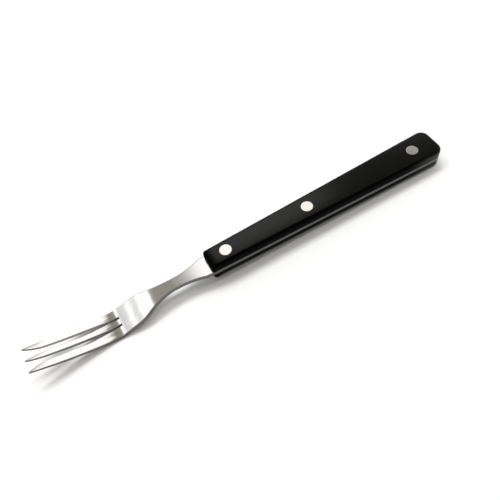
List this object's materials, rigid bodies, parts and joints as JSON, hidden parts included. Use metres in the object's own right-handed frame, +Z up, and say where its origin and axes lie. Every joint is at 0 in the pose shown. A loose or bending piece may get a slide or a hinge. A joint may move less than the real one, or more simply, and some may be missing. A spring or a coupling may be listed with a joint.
{
  "type": "granny fork",
  "caption": "Slim table fork with a bent steel head of pointed tines, a waisted neck and a full tang riveted between two black handle scales, for eating and lifting food.",
  "frame": {"origin": "centre of the footprint on the table, at table height, with the fork lying on its bowl and the lower edge of its butt", "axes": "+X along the fork from the butt to the tine tips, +Z up from the table, +Y across the handle"},
  "size_m": [0.2177, 0.0166, 0.0133],
  "materials": {
    "blade_steel": "satin, brushed along the blade",
    "handle_scale": "black, fine satin",
    "rivet_steel": "ground flush with the scales"
  },
  "bodies": {
    "root": {"fork_blade": "blade_steel", "upper_scale": "handle_scale", "lower_scale": "handle_scale", "rivet_front_pin": "rivet_steel", "rivet_front_tube": "rivet_steel", "rivet_middle_pin": "rivet_steel", "rivet_middle_tube": "rivet_steel", "rivet_rear_pin": "rivet_steel", "rivet_rear_tube": "rivet_steel"}
  },
  "joints": []
}
